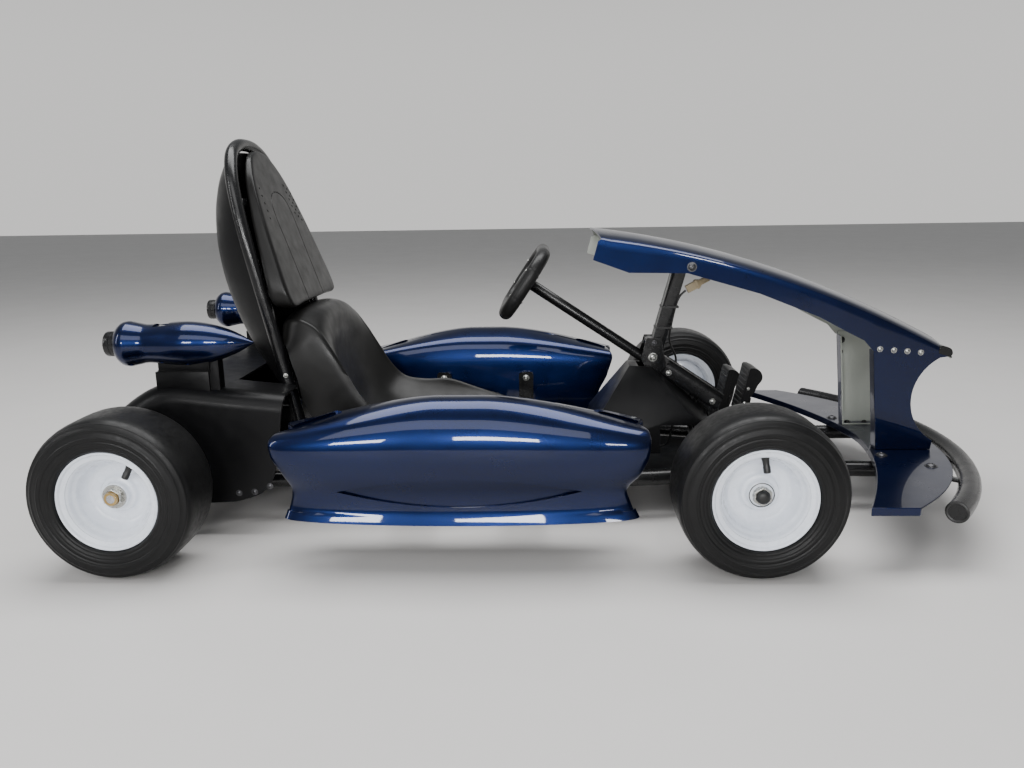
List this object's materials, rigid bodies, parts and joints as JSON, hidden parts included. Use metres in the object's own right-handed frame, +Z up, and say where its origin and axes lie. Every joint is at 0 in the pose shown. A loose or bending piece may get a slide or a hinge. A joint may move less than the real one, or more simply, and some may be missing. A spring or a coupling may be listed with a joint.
{
  "type": "kart chassis",
  "caption": "Small electric drift kart: tube frame, bucket seat with hooped backrest, steered front wheels, live rear axle, side pods, canopy and bumper.",
  "frame": {"origin": "on the ground, at the middle of the footprint", "axes": "+X forwards towards the bumper, +Y to the kart's left, +Z up"},
  "size_m": [1.548, 0.849, 0.6717],
  "materials": {
    "metallic_blue": "glossy metallic dark blue lacquer",
    "frame_black": "satin black powder coat",
    "black_plastic": "satin black moulded plastic with a fine grain",
    "seat_vinyl": "soft satin black moulded skin",
    "grip_rubber": "satin black moulded grip",
    "tyre": "slick kart tyre, semi-matt",
    "white_rim": "gloss white enamel",
    "zinc_steel": "zinc plated",
    "bright_steel": "ground bright steel",
    "dark_steel": "dark phosphated steel",
    "motor_casting": "black painted casting",
    "bare_aluminium": "fine blasted aluminium",
    "cable_black": "smooth black sheath",
    "tan_nylon": "natural tan nylon"
  },
  "bodies": {
    "chassis": {"frame_rail_left": "frame_black", "frame_rail_right": "frame_black", "rear_cross_tube": "frame_black", "seat_cross_tube": "frame_black", "front_beam": "frame_black", "floor_tray": "black_plastic", "axle_bearing_left": "dark_steel", "axle_bearing_right": "dark_steel", "drive_chain": "dark_steel", "drive_motor": "motor_casting", "battery_pack": "black_plastic", "motor_controller": "bare_aluminium", "brake_caliper": "dark_steel", "steering_tunnel": "frame_black", "footwell_hood": "black_plastic", "seat_bucket": "seat_vinyl", "seat_hoop": "frame_black", "backrest_pad": "seat_vinyl", "backrest_shell": "black_plastic", "rear_cover": "black_plastic", "thruster_left": "metallic_blue", "thruster_nozzle_left": "black_plastic", "thruster_pedestal_left": "black_plastic", "thruster_right": "metallic_blue", "thruster_nozzle_right": "black_plastic", "thruster_pedestal_right": "black_plastic", "canopy": "metallic_blue", "canopy_mast": "frame_black", "canopy_lead": "cable_black", "lead_connector": "tan_nylon", "upright_left": "metallic_blue", "upright_right": "metallic_blue", "nose_plate": "metallic_blue", "front_bumper": "frame_black", "side_pod_left": "metallic_blue", "side_pod_right": "metallic_blue"},
    "rear_axle_set": {"rear_axle": "bright_steel", "axle_sprocket": "dark_steel", "brake_disc": "bright_steel", "rear_left_rim": "white_rim", "rear_left_tyre": "tyre", "rear_left_hub_nut": "zinc_steel", "rear_right_rim": "white_rim", "rear_right_tyre": "tyre", "rear_right_hub_nut": "zinc_steel"},
    "motor_pinion": {"motor_sprocket": "dark_steel"},
    "steering_set": {"steering_column": "frame_black", "steering_wheel": "grip_rubber"},
    "left_knuckle": {"front_left_spindle": "dark_steel", "front_left_hub_nut": "zinc_steel"},
    "right_knuckle": {"front_right_spindle": "dark_steel", "front_right_hub_nut": "zinc_steel"},
    "left_tie_rod": {"tie_rod_left": "dark_steel"},
    "right_tie_rod": {"tie_rod_right": "dark_steel"},
    "left_front_wheel": {"front_left_rim": "white_rim", "front_left_tyre": "tyre"},
    "right_front_wheel": {"front_right_rim": "white_rim", "front_right_tyre": "tyre"},
    "accelerator": {"accelerator_pedal": "black_plastic"},
    "brake": {"brake_pedal": "black_plastic"}
  },
  "joints": [
    {"name": "rear_axle_spin", "type": "hinge", "parent": "chassis", "child": "rear_axle_set", "pos_m": [-0.647, 0, 0.127], "axis": [0, 1, 0], "continuous": true},
    {"name": "motor_spin", "type": "hinge", "parent": "chassis", "child": "motor_pinion", "pos_m": [-0.555, -0.062, 0.152], "axis": [0, 1, 0], "continuous": true},
    {"name": "steering", "type": "hinge", "parent": "chassis", "child": "steering_set", "pos_m": [0.295, 0, 0.194], "axis": [0.8329, 0, -0.5534], "range_deg": [-40, 40]},
    {"name": "left_kingpin", "type": "hinge", "parent": "chassis", "child": "left_knuckle", "pos_m": [0.325, 0.288, 0.127], "axis": [0, 0, 1], "range_deg": [-22, 22]},
    {"name": "right_kingpin", "type": "hinge", "parent": "chassis", "child": "right_knuckle", "pos_m": [0.325, -0.288, 0.127], "axis": [0, 0, 1], "range_deg": [-22, 22]},
    {"name": "left_rod_end", "type": "hinge", "parent": "left_knuckle", "child": "left_tie_rod", "pos_m": [0.25, 0.288, 0.1183], "axis": [0, 0, 1], "range_deg": [-22, 22]},
    {"name": "right_rod_end", "type": "hinge", "parent": "right_knuckle", "child": "right_tie_rod", "pos_m": [0.25, -0.288, 0.1183], "axis": [0, 0, 1], "range_deg": [-22, 22]},
    {"name": "left_front_wheel_spin", "type": "hinge", "parent": "left_knuckle", "child": "left_front_wheel", "pos_m": [0.325, 0.3675, 0.127], "axis": [0, 1, 0], "continuous": true},
    {"name": "right_front_wheel_spin", "type": "hinge", "parent": "right_knuckle", "child": "right_front_wheel", "pos_m": [0.325, -0.3675, 0.127], "axis": [0, 1, 0], "continuous": true},
    {"name": "accelerator_travel", "type": "hinge", "parent": "chassis", "child": "accelerator", "pos_m": [0.365, -0.08, 0.112], "axis": [0, 1, 0], "range_deg": [0, 18], "stiffness_Nm_per_rad": 1.2, "springref_deg": -20.05},
    {"name": "brake_travel", "type": "hinge", "parent": "chassis", "child": "brake", "pos_m": [0.365, 0.08, 0.112], "axis": [0, 1, 0], "range_deg": [0, 18], "stiffness_Nm_per_rad": 1.2, "springref_deg": -20.05}
  ],
  "couplings": [
    {"joint": "motor_spin", "follows": "rear_axle_spin", "ratio": 2.6667},
    {"joint": "left_kingpin", "follows": "steering", "ratio": -0.55},
    {"joint": "right_kingpin", "follows": "steering", "ratio": -0.55},
    {"joint": "left_rod_end", "follows": "steering", "ratio": 0.55},
    {"joint": "right_rod_end", "follows": "steering", "ratio": 0.55}
  ]
}
